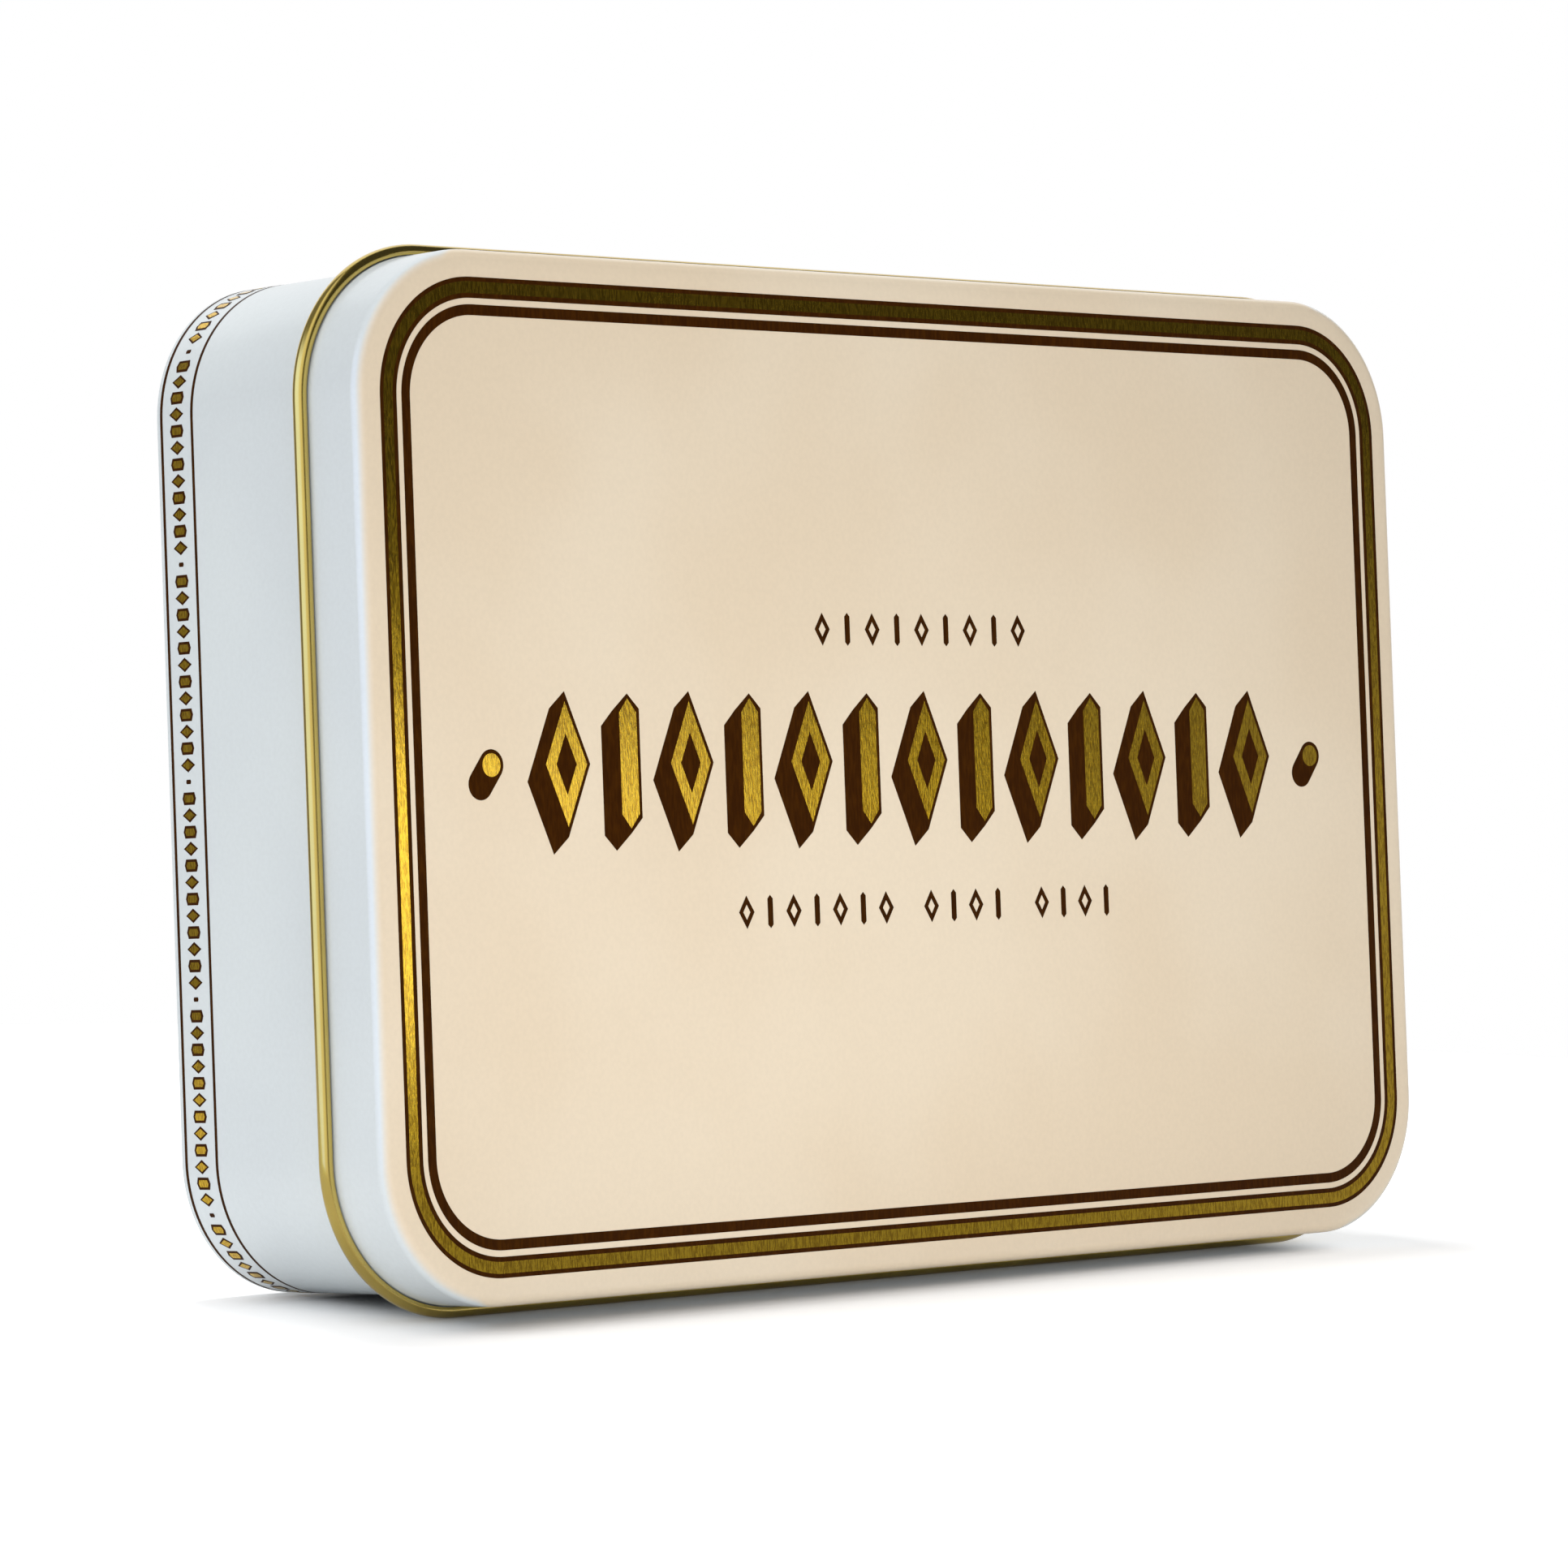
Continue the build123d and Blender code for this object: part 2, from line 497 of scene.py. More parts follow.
def finishPiece(bm, name, body, materials, place=standUp):
    # The bmesh becomes an object, with its place in its mesh, that rides on its body
    bm.transform(place)
    mesh = bpy.data.meshes.new(name)
    bm.to_mesh(mesh)
    bm.free()
    for material in materials:
        mesh.materials.append(material)
    shadeSmooth(mesh)
    piece = addObject(name, mesh)
    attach(piece, body)
    return piece


def foldSheet(name, body, outline, profile, capped, outside):
    # Sheet of full thickness along the profile: printed outside, lacquered inside and at its edges
    bm = bmesh.new()
    runRound(bm, outline, profile, [0] * (len(profile) - 1), capped)
    bmesh.ops.recalc_face_normals(bm, faces=bm.faces)
    largest = max(bm.faces, key=lambda face: face.calc_area())
    facing = largest.normal.z if capped else largest.normal.xy.dot(largest.calc_center_median().xy)
    if facing < 0:
        bmesh.ops.reverse_faces(bm, faces=bm.faces)
    piece = finishPiece(bm, name, body, [outside, goldLacquer])
    wall = piece.modifiers.new("sheet", "SOLIDIFY")
    wall.thickness = sheet["thickness"] * mm
    wall.offset = 0
    wall.use_even_offset = True
    wall.material_offset = 1
    wall.material_offset_rim = 1
    bpy.context.view_layer.update()
    solid = bpy.data.meshes.new_from_object(piece.evaluated_get(bpy.context.evaluated_depsgraph_get()))
    piece.modifiers.clear()
    piece.data = solid
    solid.name = name
    shadeSmooth(solid)
    return piece


def raiseInk(bm, faces, height):
    # Flat shapes get the ink's thickness, upwards, and stay closed
    grown = bmesh.ops.extrude_face_region(bm, geom=faces, use_keep_orig=True)["geom"]
    verts = [item for item in grown if isinstance(item, bmesh.types.BMVert)]
    bmesh.ops.translate(bm, verts=verts, vec=Vector((0, 0, height)))


# The lid

lidSizes = {
    "corner": 15.3,
    "edgeRadius": 1.25,
    "edgeSteps": 8,
    "curl": 1.5,
    "curlTurn": 300,
    "support": 0.8,  # width of the flat strip that keeps the panel flat beside the rounded edge
}
curlStandOut = lidSizes["curl"] - sheet["thickness"]
lidOutline = makeOutline(curlStandOut, lidSizes["corner"])
lidDepth = lidHigh.y - lidLow.y
printFace = closedDepth - 2 * inkHeight  # height of the lid's face under its print


def makeLid():
    half = sheet["thickness"] / 2
    edgeRadius = lidSizes["edgeRadius"]
    curlMiddle = closedDepth - lidDepth + lidSizes["curl"] / 2
    curlRadius = lidSizes["curl"] / 2 - half
    edgeCentre = (-edgeRadius, printFace - edgeRadius)
    curlCentre = (lidSizes["curl"] / 2 - sheet["thickness"], curlMiddle)
    profile = [(-edgeRadius - lidSizes["support"], printFace - half)]
    profile += arc(edgeCentre, edgeRadius - half, 90, -90, lidSizes["edgeSteps"])
    profile += arc(curlCentre, curlRadius, 180, lidSizes["curlTurn"], sheet["curlSteps"])
    lid = foldSheet("tinLid", "lid", lidOutline, profile, True, lidPrint)
    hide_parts("lid")


makeLid()
print("stage: lid made")


# The body: hem, wall and the mouth's inward curl are one strip

wallSizes = {
    "rimCurl": 1.4,
    "curlTurn": 300,
    "hemLayers": 3,
    "hemLeg": 1.6,
    "hemSteps": 10,
    "seatGap": 0.15,
}
seamSizes = {"width": 2.6, "thickness": 0.5, "bottom": 2.45, "round": 0.15, "roundSteps": 3}
bodyInset = lidHigh.x - wallHigh.x
wallOutline = makeOutline(bodyInset, lidSizes["corner"] + curlStandOut - bodyInset)
mouthHeight = closedDepth - sheet["thickness"] - wallSizes["seatGap"]


def makeWall():
    thickness = sheet["thickness"]
    hem = wallSizes["hemLayers"] * thickness / 2
    rimRadius = wallSizes["rimCurl"] / 2
    curlCentre = (-rimRadius, mouthHeight - rimRadius)
    profile = [(thickness / 2 - 2 * hem, wallSizes["hemLeg"])]
    profile += arc((-hem, hem), hem - thickness / 2, 180, 180, wallSizes["hemSteps"])
    profile += arc(curlCentre, rimRadius - thickness / 2, 0, wallSizes["curlTurn"], sheet["curlSteps"])
    wall = foldSheet("tinWall", "tin_body", wallOutline, profile, False, wallPrint)
    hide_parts("body_wall")


def makeSideSeam():
    # The strip's hooked ends lie inside the wall, on the side away from the camera
    bm = bmesh.new()
    verts = bmesh.ops.create_cube(bm, size=1)["verts"]
    height = mouthHeight - wallSizes["rimCurl"] - seamSizes["bottom"]
    bmesh.ops.scale(bm, verts=verts, vec=Vector((seamSizes["thickness"], seamSizes["width"], height)))
    inside = wallOutline["halfLength"] - sheet["thickness"] - seamSizes["thickness"] / 2
    bmesh.ops.translate(bm, verts=verts, vec=Vector((inside, 0, seamSizes["bottom"] + height / 2)))
    bmesh.ops.bevel(
        bm, geom=bm.edges, offset=seamSizes["round"], segments=seamSizes["roundSteps"],
        profile=0.5, affect="EDGES", material=-1,
    )
    finishPiece(bm, "sideSeam", "tin_body", [goldLacquer])


makeWall()
makeSideSeam()
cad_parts["base_panel"].data.materials.clear()
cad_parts["base_panel"].data.materials.append(baseCoat)
print("stage: body made")


# The print on the lid: a gold border and a generic frieze of lozenges and pointed bars

border = {
    "margin": 2.9,
    "outerLine": 0.45,
    "gold": 1.2,
    "innerLine": 0.5,
    "gap": 0.64,
    "rule": 1.1,
}
frieze = {
    "middle": 1.15,
    "pitch": 8.6,
    "perSide": 6,
    "shoulder": 0.78,  # where a bar's point starts, as a share of its height
    "shadow": (-2.1, -1.75),
    "dotPlace": 61.7,
    "dotShadow": (-1.5, -1.95),
}
motifs = {
    "lozenge": {"size": (5.6, 12.8), "outline": (0.43, 1.04), "rim": 1.3},
    "bar": {"size": (2.4, 13.4), "outline": (0.4, 0.5), "rim": None},
    "dot": {"size": (2.4, 2.4), "outline": (0.4, 0.4), "rim": None},
}
rules = {
    "lozenge": (2.2, 3.5),
    "bar": (0.75, 3.5),
    "stroke": 0.5,
    "rows": [
        {"height": 15.15, "pitch": 3.7, "groups": (9,)},
        {"height": -14.55, "pitch": 3.4, "groups": (7, 4, 4)},
    ],
}
inkMaterials = [brownInk, goldFoil]


def makeBorder():
    bm = bmesh.new()
    offset = -border["margin"]
    profile = [(offset, printFace)]
    for width in ("outerLine", "gold", "innerLine", "gap", "rule"):
        offset -= border[width]
        profile.append((offset, printFace))
    runRound(bm, lidOutline, profile, [0, 1, 0, None, 0])
    raiseInk(bm, bm.faces[:], inkHeight)
    bmesh.ops.recalc_face_normals(bm, faces=bm.faces)
    finishPiece(bm, "lidBorder", "lid", inkMaterials)


def shapeFace(bm, shape, size, place):
    # A small flat shape by its name: its points start as a circle's and are moved
    steps = {"lozenge": 4, "bar": 6, "dot": 32}[shape]
    verts = bmesh.ops.create_circle(bm, cap_ends=True, segments=steps, radius=1)["verts"]
    for vert in verts:
        isTip = abs(vert.co.y) > 0.9
        if shape == "bar" and not isTip:
            vert.co.x = math.copysign(1, vert.co.x)
            vert.co.y = math.copysign(frieze["shoulder"], vert.co.y)
        across, up = (vert.co[axis] * size[axis] / 2 for axis in range(2))
        vert.co = Vector((place[0] + across, place[1] + up, place[2]))
    return verts


def openShape(bm, face, rim):
    # Leaves only the rim of a flat shape
    bmesh.ops.inset_region(bm, faces=[face], thickness=rim, use_even_offset=True, use_boundary=True)
    bmesh.ops.delete(bm, geom=[face], context="FACES_ONLY")


def blockShadow(bm, shape, size, place, shadow):
    # The outlined shape and its copy at the shadow's end, as one convex slab of ink
    verts = []
    for shift in ((0, 0), shadow):
        for lift in (0, inkHeight):
            low = (place[0] + shift[0], place[1] + shift[1], place[2] + lift)
            verts += shapeFace(bm, shape, size, low)
    faces = {face for vert in verts for face in vert.link_faces}
    bmesh.ops.delete(bm, geom=list(faces), context="FACES_ONLY")
    hull = bmesh.ops.convex_hull(bm, input=verts)
    spare = hull["geom_interior"] + hull["geom_unused"]
    inner = {item for item in spare if isinstance(item, bmesh.types.BMVert)}
    bmesh.ops.delete(bm, geom=list(inner), context="VERTS")


def grownSize(size, outline):
    return (size[0] + 2 * outline[0], size[1] + 2 * outline[1])


def makeFrieze():
    placed = [("lozenge", 0.0, frieze["shadow"])]
    for side in (-1, 1):
        for index in range(1, frieze["perSide"] + 1):
            shape = ("lozenge", "bar")[index % 2]
            placed.append((shape, side * index * frieze["pitch"], frieze["shadow"]))
        placed.append(("dot", side * frieze["dotPlace"], frieze["dotShadow"]))
    bm = bmesh.new()
    for shape, across, shadow in placed:
        motif = motifs[shape]
        place = (across, frieze["middle"], printFace)
        blockShadow(bm, shape, grownSize(motif["size"], motif["outline"]), place, shadow)
    shadows = set(bm.faces)
    for shape, across, _ in placed:
        motif = motifs[shape]
        verts = shapeFace(bm, shape, motif["size"], (across, frieze["middle"], printFace + inkHeight))
        if motif["rim"]:
            openShape(bm, verts[0].link_faces[0], motif["rim"])
    gold = [face for face in bm.faces if face not in shadows]
    raiseInk(bm, gold, inkHeight)
    for face in bm.faces:
        face.material_index = 0 if face in shadows else 1
    bmesh.ops.recalc_face_normals(bm, faces=bm.faces)
    finishPiece(bm, "lidFrieze", "lid", inkMaterials)


def makeRules():
    # Rows of small open lozenges and bars above and below the frieze
    bm = bmesh.new()
    for row in rules["rows"]:
        slots = sum(row["groups"]) + len(row["groups"]) - 1
        slot = 0
        for group in row["groups"]:
            for index in range(group):
                shape = ("lozenge", "bar")[index % 2]
                across = row["pitch"] * (slot - (slots - 1) / 2)
                verts = shapeFace(bm, shape, rules[shape], (across, row["height"], printFace))
                if shape == "lozenge":
                    openShape(bm, verts[0].link_faces[0], rules["stroke"])
                slot += 1
            slot += 1
    raiseInk(bm, bm.faces[:], inkHeight)
    bmesh.ops.recalc_face_normals(bm, faces=bm.faces)
    finishPiece(bm, "lidRules", "lid", inkMaterials)


makeBorder()
makeFrieze()
makeRules()
print("stage: lid's print made")


# The print on the wall: two fine lines with small gold motifs between them

band = {
    "lines": (32.85, 27.83),  # behind the lid's face
    "lineWidth": 0.4,
    "middle": 30.34,
    "motifs": 286,
    "seamMargin": 2.0,  # from the seam's middle to the lines' ends
    "motifMargin": 2.6,
    "bar": (0.75, 1.6),
    "lozenge": (0.95, 1.7),
    "dash": (0.45, 0.8),
    "outline": (0.27, 0.3),
    "group": 13,
}


def alongWall(distance, lift):
    # The place so far round the wall from the side seam on, lifted off it
    halfLength, halfWidth, corner = (wallOutline[key] for key in ("halfLength", "halfWidth", "corner"))
    straights = (halfWidth - corner, 2 * (halfLength - corner), 2 * (halfWidth - corner),
                 2 * (halfLength - corner), halfWidth - corner)
    place = Vector((halfLength, 0))
    direction = Vector((0, 1))
    quarter = corner * math.pi / 2
    for straight in straights:
        outward = Vector((direction.y, -direction.x))
        if distance <= straight:
            return place + direction * distance + outward * lift
        place += direction * straight
        distance -= straight
        if distance <= quarter:
            middle = place - outward * corner
            turned = Matrix.Rotation(distance / corner, 2) @ outward
            return middle + turned * (corner + lift)
        place += (direction - outward) * corner
        direction = Vector((-direction.y, direction.x))
        distance -= quarter
    return place


def makeBandLines():
    bm = bmesh.new()
    for line in band["lines"]:
        low = closedDepth - line - band["lineWidth"] / 2
        high = low + band["lineWidth"]
        profile = [(0, low), (inkHeight, low), (inkHeight, high), (0, high)]
        runRound(bm, wallOutline, profile, [0, 0, 0])
    # The lines stop at the stripe beside the side seam
    for margin in (-band["seamMargin"], band["seamMargin"]):
        everything = bm.verts[:] + bm.edges[:] + bm.faces[:]
        cut = Vector((0, margin, 0))
        bmesh.ops.bisect_plane(bm, geom=everything, plane_co=cut, plane_no=Vector((0, 1, 0)))
    atSeam = []
    for face in bm.faces:
        middle = face.calc_center_median()
        if middle.x > 0 and abs(middle.y) < band["seamMargin"]:
            atSeam.append(face)
    bmesh.ops.delete(bm, geom=atSeam, context="FACES")
    bmesh.ops.recalc_face_normals(bm, faces=bm.faces)
    finishPiece(bm, "bandLines", "tin_body", [brownInk])


def makeBandMotifs():
    bm = bmesh.new()
    length = 4 * (wallOutline["halfLength"] + wallOutline["halfWidth"] - 2 * wallOutline["corner"])
    length += 2 * math.pi * wallOutline["corner"]
    for index in range(band["motifs"]):
        along = length * (index + 0.5) / band["motifs"]
        if min(along, length - along) < band["motifMargin"]:
            continue
        step = index % band["group"]
        shape = ("bar", "lozenge")[step % 2]
        layers = [(0, 0, grownSize(band[shape], band["outline"])), (1, inkHeight, band[shape])]
        if step == band["group"] - 1:
            layers = [(0, 0, band["dash"])]
        for finish, lift, size in layers:
            verts = shapeFace(bm, shape, size, (along, closedDepth - band["middle"], lift))
            before = set(bm.faces)
            raiseInk(bm, [verts[0].link_faces[0]], inkHeight)
            for face in set(bm.faces) - before | set(verts[0].link_faces):
                face.material_index = finish
    bmesh.ops.recalc_face_normals(bm, faces=bm.faces)
    for vert in bm.verts:
        place = alongWall(vert.co.x, vert.co.z)
        vert.co = Vector((place.x, place.y, vert.co.y))
    finishPiece(bm, "bandMotifs", "tin_body", inkMaterials)


makeBandLines()
makeBandMotifs()
print("stage: wall's print made")


# Firelighters: waxed wood wool twisted into rolls, about 240 shavings on a core each

wool = {
    "rolls": 24,
    "seed": 7000,  # plus the roll's number
    "segments": 12,
    "width": (0.55, 1.3),
    "thickness": 0.2,
    # the roll's form
    "strands": 9,
    "strandDepth": 1.4,
    "twist": 60.0,
    "swirl": 75.0,  # turn over a roll's end, from its rim to its middle
    "endShare": 0.22,  # of a shaving's full way that lies over one end
    "crown": 1.5,
    "crownPower": 4,
    "endFullness": 0.85,
    # shavings wrapped along the twist
    "fibres": 205,
    "starts": (-0.1, 0.5),
    "reaches": (0.35, 0.7),
    "layer": 1.7,
    "layerCrowding": 1.4,
    "swing": (3, 10),
    "waveTurns": (9, 21, 11),
    "smallWave": 0.4,
    "lean": 0.5,
    "tiltShare": 0.35,
    "riseShare": 0.3,
    # loose curls over the ends
    "loops": 34,
    "loopRadius": (1.6, 6.0),
    "loopReach": 6.0,
    "loopSpan": (1.6, 4.2),
    "loopDepth": (0.15, 1.2),
    "loopOnTop": 0.7,
    "loopWaveTurns": (7, 8),
    "loopWave": 0.12,
    "loopTilt": (0.7, 0.5),
    "loopDip": 0.5,
    "clearance": (0.05, 0.02),  # of the curls and of all shavings, from the roll's two ends
    # the core, whose darker tone is painted shade that makes the gaps between the shavings read deep
    "coreInset": 2.8,
    "coreRound": 1.5,
    "coreRoundSteps": 3,
    "coreSides": 36,
    "coreShadeTone": 0.2,
}


def shavingMesh():
    # One straight shaving along Z from 0 to 1, a unit wide and thick
    bm = bmesh.new()
    verts = bmesh.ops.create_cube(bm, size=1)["verts"]
    bmesh.ops.translate(bm, verts=verts, vec=Vector((0, 0, 0.5)))
    for cut in range(1, wool["segments"]):
        everything = bm.verts[:] + bm.edges[:] + bm.faces[:]
        height = Vector((0, 0, cut / wool["segments"]))
        bmesh.ops.bisect_plane(bm, geom=everything, plane_co=height, plane_no=Vector((0, 0, 1)))
    mesh = bpy.data.meshes.new("shaving")
    bm.to_mesh(mesh)
    bm.free()
    return mesh


def rollSkin(share, turn, radius, length):
    # From one end's middle over the side to the other end's middle: a point of the roll's skin.
    # A share below 0 or above 1 has crossed the end's middle.
    end = wool["endShare"]
    height = min(max((share - end) / (1 - 2 * end), 0.0), 1.0)
    reach = min(share, 1 - share, end) / end
    angle = math.radians(turn + wool["twist"] * height)
    angle += math.radians(wool["swirl"]) * (1 - abs(reach)) * (1 if height > 0.5 else -1)
    if reach < 0:
        angle += math.pi
    reach = abs(reach)
    lobe = abs(math.sin(wool["strands"] / 2 * (angle - math.radians(wool["twist"] * height))))
    skin = radius - wool["strandDepth"] * (1 - lobe) * reach
    crown = wool["crown"] * reach ** wool["crownPower"]
    return angle, skin * reach ** wool["endFullness"], crown + height * (length - 2 * crown)


def wrappedShaving(pick, radius, length):
    # A shaving that follows the twist, from one end or somewhere on the side
    start = pick.uniform(*wool["starts"])
    reach = pick.uniform(*wool["reaches"])
    if pick.random() < 0.5:
        start, reach = 1 - start, -reach
    turn = pick.uniform(0, 360)
    depth = wool["layer"] * pick.random() ** wool["layerCrowding"]
    waves = [pick.uniform(0, math.tau) for part in range(3)]
    swing = math.radians(pick.uniform(*wool["swing"]))
    width = pick.uniform(*wool["width"])
    lean = pick.uniform(-wool["lean"], wool["lean"])

    def place(across, thick, along):
        angle, skin, rise = rollSkin(start + reach * along, turn, radius - depth, length - 2 * depth)
        large, small, rock = (math.sin(waves[part] + along * wool["waveTurns"][part]) for part in range(3))
        wander = large + small * wool["smallWave"]
        tilt = lean + wool["lean"] * rock
        angle += swing * wander * skin / radius
        distance = skin + thick * wool["thickness"] + across * width * math.sin(tilt) * wool["tiltShare"]
        beside = across * width * math.cos(tilt)
        spot = Matrix.Rotation(angle, 2) @ Vector((distance, beside))
        if spot.length > radius:
            spot *= radius / spot.length
        lifted = thick * wool["thickness"] + beside * wool["riseShare"]
        rise += lifted * max(1 - skin / radius, 0) ** 2
        return Vector((spot.x, spot.y, depth + rise))

    return place


def loopedShaving(pick, radius, length):
    # A loose curl that lies over one of the roll's ends
    loop = pick.uniform(*wool["loopRadius"])
    bearing = pick.uniform(0, math.tau)
    reach = wool["loopReach"] * pick.random()
    middle = Vector((reach * math.cos(bearing), reach * math.sin(bearing)))
    start = pick.uniform(0, math.tau)
    span = pick.uniform(*wool["loopSpan"]) * pick.choice((-1, 1))
    depth = pick.uniform(*wool["loopDepth"])
    wave = pick.uniform(0, math.tau)
    width = pick.uniform(*wool["width"])
    top = pick.random() < wool["loopOnTop"]

    def place(across, thick, along):
        angle = start + span * along
        sway, bob = (math.sin(wave + along * turns) for turns in wool["loopWaveTurns"])
        flat, steep = (across * width * share for share in wool["loopTilt"])
        bow = loop * (1 + wool["loopWave"] * sway) + flat
        spot = middle + Vector((math.cos(angle), math.sin(angle))) * bow
        low = depth + wool["loopDip"] * (spot.length / radius) ** 2 + wool["loopDip"] * (1 + bob) * 0.5
        low += thick * wool["thickness"] + steep
        low = max(low, wool["clearance"][0])
        return Vector((spot.x, spot.y, length - low if top else low))

    return place


def makeRoll(node, template, index):
    low, high = (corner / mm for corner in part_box(node))
    radius = (high.x - low.x) / 2
    length = high.y - low.y
    pick = random.Random(wool["seed"] + index)
    inset = wool["coreInset"]
    bm = bmesh.new()
    tone = bm.verts.layers.float.new("tone")
    shapes = [wrappedShaving] * wool["fibres"] + [loopedShaving] * wool["loops"]
    for shape in shapes:
        place = shape(pick, radius, length)
        shade = pick.random()
        known = len(bm.verts)
        bm.from_mesh(template)
        bm.verts.ensure_lookup_table()
        for vert in bm.verts[known:]:
            vert.co = place(*vert.co)
            vert.co.z = min(max(vert.co.z, wool["clearance"][1]), length - wool["clearance"][1])
            vert[tone] = shade
    # The core comes last, because a bevel would upset the order in which the shavings are found
    shavings = set(bm.faces)
    verts = bmesh.ops.create_cone(
        bm, cap_ends=True, segments=wool["coreSides"], radius1=radius - inset, radius2=radius - inset,
        depth=length - inset,
    )["verts"]
    bmesh.ops.translate(bm, verts=verts, vec=Vector((0, 0, length / 2)))
    sides = {edge for vert in verts for edge in vert.link_edges}
    rims = [edge for edge in sides if abs(edge.verts[0].co.z - edge.verts[1].co.z) < 0.01]
    bmesh.ops.bevel(
        bm, geom=rims, offset=wool["coreRound"], segments=wool["coreRoundSteps"],
        profile=0.5, affect="EDGES", material=-1,
    )
    # The core takes the darker tone, which is painted shade for the gaps between the shavings
    for face in set(bm.faces) - shavings:
        face.material_index = 1
        for vert in face.verts:
            vert[tone] = wool["coreShadeTone"]
    bmesh.ops.recalc_face_normals(bm, faces=bm.faces)
    # The roll stands on the base panel, where the frame has it
    middle = (low + high) / 2
    place = Matrix((
        (mm, 0, 0, middle.x * mm),
        (0, 0, -mm, high.y * mm),
        (0, mm, 0, middle.z * mm),
        (0, 0, 0, 1),
    ))
    name = f"woolRoll{index:02d}"
    roll = finishPiece(bm, name, "tin_body", [woolFibre, woolCoreShade], place)
    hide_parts(node)


shaving = shavingMesh()
for number in range(1, wool["rolls"] + 1):
    makeRoll(f"firelighter_{number:02d}", shaving, number)
bpy.data.meshes.remove(shaving)
print("stage: rolls made")


# The floor, which the tin leans back on: it touches the lid's curl and the wall's rear hem

leaning = {
    "curlRadius": lidSizes["curl"] / 2,
    "hemRadius": wallSizes["hemLayers"] * sheet["thickness"] / 2,
}
floorSizes = {
    "radius": 330,
    "steps": 128,
    "albedo": 0.94,
    "darkerSeen": 0.24,  # to the camera, so that the shadow shows
    "darkerInGold": 0.56,
    # where the floor's glow starts on each side and over how much it grows: painted light that fades the
    # tin's shadow out
    "left": (61, 19),
    "right": (55, 14),
    "front": (13.5, 9.5),
    "behind": (10, 12),
    "slant": 0.03,
    "glow": 0.55,
    "glowUnseen": 0.42,  # share of the glow that lights the tin and shows in its gold
}


def makeFloor():
    curl = Vector((lidHigh.y - leaning["curlRadius"], lidLow.z + leaning["curlRadius"]))
    hem = Vector((wallHigh.y - leaning["hemRadius"], wallLow.z + leaning["hemRadius"]))
    span = hem - curl
    taper = (leaning["curlRadius"] - leaning["hemRadius"]) / span.length
    lean = math.atan2(span.y, span.x) + math.asin(taper)
    upward = Vector((-math.sin(lean), math.cos(lean)))
    touch = curl - upward * leaning["curlRadius"]
    bm = bmesh.new()
    bmesh.ops.create_circle(
        bm, cap_ends=True, segments=floorSizes["steps"], radius=floorSizes["radius"] * mm,
    )
    place = Matrix.Translation(Vector((0, touch.x, touch.y)) * mm) @ Matrix.Rotation(lean, 4, "X")
    bm.transform(place)
    mesh = bpy.data.meshes.new("studioFloor")
    bm.to_mesh(mesh)
    bm.free()
    floor = addObject("studioFloor", mesh)
    made = Finish("paleFloor", {"Roughness": 0.7, "Specular IOR Level": 0.2})
    camera, glossy = (made.node("LightPath", {}, {}, ray) for ray in ("Is Camera Ray", "Is Glossy Ray"))
    # The floor is darker to the camera, and darker again in the gold's reflections: painted shade
    darker = camera * floorSizes["darkerSeen"] + glossy * floorSizes["darkerInGold"]
    made.set("Base Color", floorSizes["albedo"] - darker)
    across, depth = made.axes()[:2]
    places = {
        "left": 0 - across,
        "right": across,
        "front": across * floorSizes["slant"] - depth,
        "behind": depth,
    }
    faded = {}
    for side, place in places.items():
        start, reach = floorSizes[side]
        faded[side] = ((place - start) / reach).most(0.0)
    sideways = faded["left"] + faded["right"]
    lengthways = faded["front"] + faded["behind"]
    away = made.node("Math", {"operation": "SQRT"}, {0: sideways * sideways + lengthways * lengthways})
    # The glow is painted light: it whitens the floor away from the tin, and a lower share of it lights the
    # tin and shows in its gold
    glow = camera.most(floorSizes["glowUnseen"]) * made.ramp(away, 0.0, 1.0, 0.0, floorSizes["glow"])
    made.set("Emission Color", made.mix(glow, (0.0, 0.0, 0.0), (1.0, 1.0, 1.0)))
    made.set("Emission Strength", 1.0)
    mesh.materials.append(made.material)


makeFloor()


# Light: soft boxes and a studio that is white behind the tin and dim before it

softBoxes = {
    "overhead": {
        "azimuth": 170, "height": 84.5, "distance": 1100, "aside": 0,
        "size": (160, 160), "spread": 180, "glow": 80.0,
    },
    "front": {
        "azimuth": 0, "height": 0, "distance": 900, "aside": -30,
        "size": (240, 133), "spread": 28, "glow": 1.1,
    },
    "left": {
        "azimuth": -101, "height": 12, "distance": 850, "aside": 0,
        "size": (1000, 800), "spread": 180, "glow": 1.26,
    },
}
studio = {
    "fill": 0.36,  # what lights matt surfaces from all round; the rest shows in reflections only
    "behindLeft": 0.2,
    "left": 1.25,
    "leftTint": (0.9, 1.1, 1.8),
    "leftFrom": (-134, -114),
    "leftTop": (25, 50),
    "leftEnd": (-68, -42),
    "frontLeft": 0.95,
    "frontLeftEnd": (-28, 2),
    "front": 0.2,
    "frontRight": 0.3,
    "frontRightFrom": (46, 49),
    "upper": 0.05,
    "upperFrom": (0.2, 4.8),
    "patch": 1.45,
    "patchFrom": (20, 32),
    "patchEnd": (40.6, 44.8),
    "patchMiddle": 0.45,
    "patchEdge": (0.9, 2.05),
    "behind": 1.0,
    "behindFrom": (86, 108),
    "behindEnd": (-180, -165),
}


def direction(azimuth, height):
    # Azimuth 0 is straight before the lid and grows towards +X
    turn = math.radians(azimuth)
    rise = math.radians(height)
    return Vector((math.sin(turn) * math.cos(rise), -math.cos(turn) * math.cos(rise), math.sin(rise)))


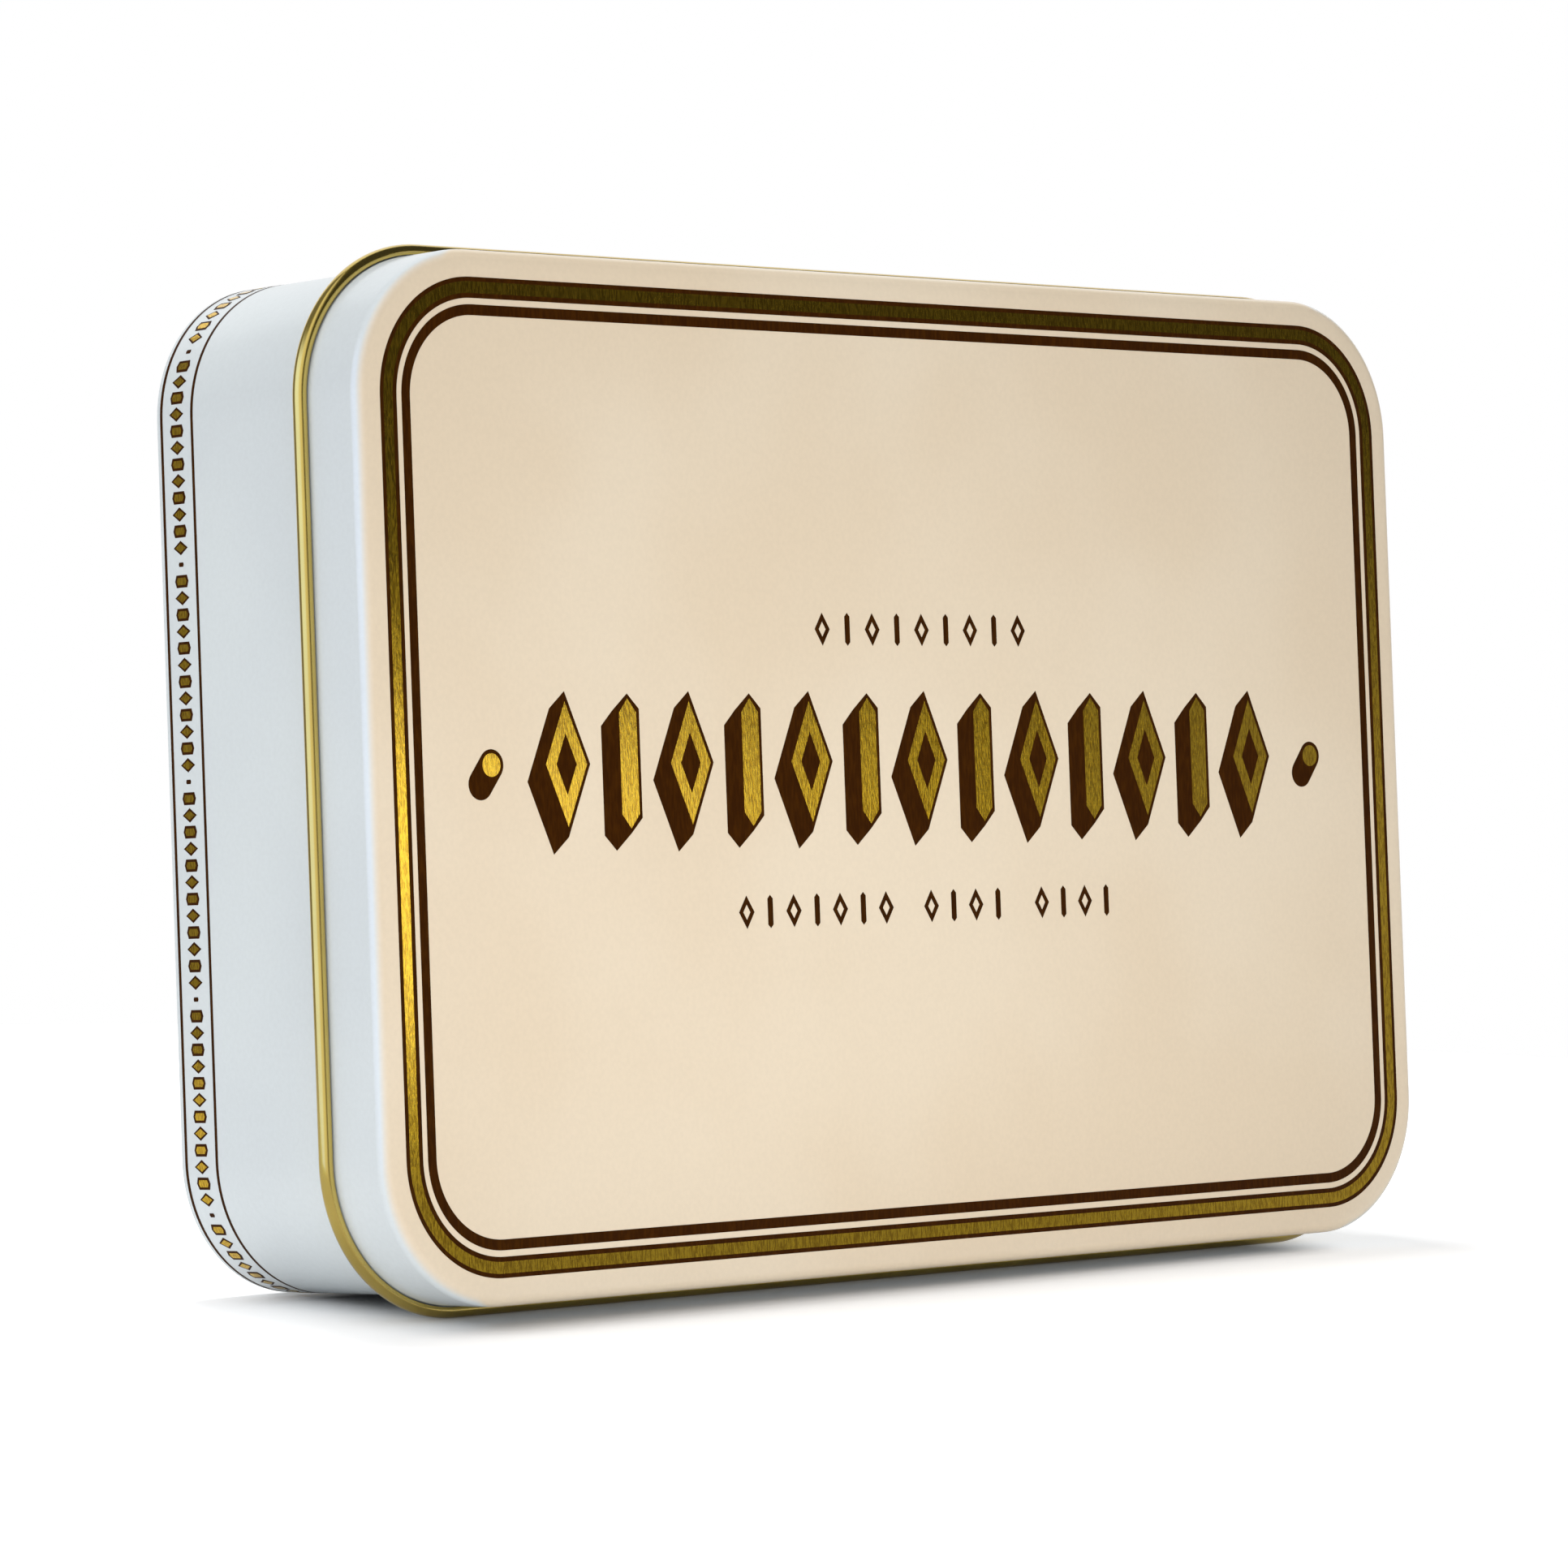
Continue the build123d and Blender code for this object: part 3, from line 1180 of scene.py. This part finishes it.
def makeSoftBoxes():
    for name, box in softBoxes.items():
        target = Vector((box["aside"], 0, middleHeight))
        light = bpy.data.lights.new(name, "AREA")
        light.shape = "RECTANGLE"
        light.size, light.size_y = (side * mm for side in box["size"])
        light.spread = math.radians(box["spread"])
        light.energy = box["glow"] * math.pi * light.size * light.size_y
        lamp = addObject(name, light)
        towards = direction(box["azimuth"], box["height"])
        lamp.location = (target + towards * box["distance"]) * mm
        lamp.rotation_mode = "QUATERNION"
        lamp.rotation_quaternion = towards.to_track_quat("Z", "Y")
        lamp.visible_camera = False
        lamp.visible_glossy = False


def makeStudio():
    world = bpy.data.worlds.new("studio")
    bpy.context.scene.world = world
    world.use_nodes = True
    tree = world.node_tree
    background = tree.nodes["Background"]
    aim = addNode(tree, "TexCoord", {}, {}, "Generated")
    x, y, z = (addNode(tree, "SeparateXYZ", {}, {0: aim}, axis) for axis in range(3))
    azimuth = x.math("ARCTAN2", x, 0 - y) * math.degrees(1)
    height = z.math("ARCSINE", z) * math.degrees(1)

    def ramp(value, edge, start=0.0, end=1.0):
        return addRamp(tree, value, *edge, start, end)

    # What the gold reflects, as the lamps don't show in it: a bright left side, a dim right side
    # but for one bright patch beside the camera, and white behind the tin
    front = ramp(azimuth, studio["frontRightFrom"], studio["front"], studio["frontRight"])
    dim = front + ramp(height, studio["upperFrom"]) * (studio["upper"] - front)
    ahead = studio["frontLeft"] + ramp(azimuth, studio["frontLeftEnd"]) * (dim - studio["frontLeft"])
    leftShare = ramp(azimuth, studio["leftFrom"]) * ramp(height, studio["leftTop"], 1.0, 0.0)
    left = studio["behindLeft"] + leftShare * (studio["left"] - studio["behindLeft"])
    notLeft = ramp(azimuth, studio["leftEnd"])
    around = left + notLeft * (ahead - left)
    patchAcross = ramp(azimuth, studio["patchEnd"], 1.0, 0.0) * ramp(azimuth, studio["patchFrom"])
    patchUp = ramp(abs(height - studio["patchMiddle"]), studio["patchEdge"], 1.0, 0.0)
    around = around + patchAcross * patchUp * studio["patch"]
    behind = ramp(azimuth, studio["behindEnd"], 1.0, 0.0).most(ramp(azimuth, studio["behindFrom"]))
    reflected = around + behind * (studio["behind"] - around)
    camera, glossy, through = (
        addNode(tree, "LightPath", {}, {}, f"Is {ray} Ray") for ray in ("Camera", "Glossy", "Transmission")
    )
    shiny = glossy.most(through)
    strength = camera + (1 - camera) * (shiny * reflected + (1 - shiny) * studio["fill"])
    tinted = shiny * (1 - camera) * (1 - behind) * (1 - notLeft) * leftShare
    tones = {0: tinted, 6: (1.0, 1.0, 1.0), 7: studio["leftTint"]}
    tint = addNode(tree, "Mix", {"data_type": "RGBA"}, tones, 2)
    feed(tree, background.inputs["Color"], tint)
    feed(tree, background.inputs["Strength"], strength)


makeSoftBoxes()
makeStudio()
print("stage: studio made")


# The camera, fitted to the photograph's frame of 1932 pixels a side

cameraFit = {
    "place": (-472.85, -493.09, 38.58),
    "turn": -43.48396,
    "pitch": 1.2935,
    "roll": 2.07789,
    "focalPixels": 7691.27,
    "photoSide": 1932,
    "sensor": 36,
    "clip": (0.01, 20),
}


def makeCamera():
    camera = bpy.data.cameras.new("camera")
    camera.sensor_width = cameraFit["sensor"]
    camera.lens = cameraFit["sensor"] * cameraFit["focalPixels"] / cameraFit["photoSide"]
    camera.clip_start, camera.clip_end = cameraFit["clip"]
    seat = addObject("camera", camera)
    turn, pitch, roll = (math.radians(cameraFit[angle]) for angle in ("turn", "pitch", "roll"))
    place = Matrix.Translation(Vector(cameraFit["place"]) * mm)
    aim = Matrix.Rotation(turn, 4, "Z") @ Matrix.Rotation(pitch, 4, "X") @ Matrix.Rotation(roll, 4, "Y")
    seat.matrix_world = place @ aim @ Matrix.Rotation(math.radians(90), 4, "X")
    bpy.context.scene.camera = seat


makeCamera()
bpy.context.scene.view_settings.view_transform = "Standard"
print("stage: camera made")
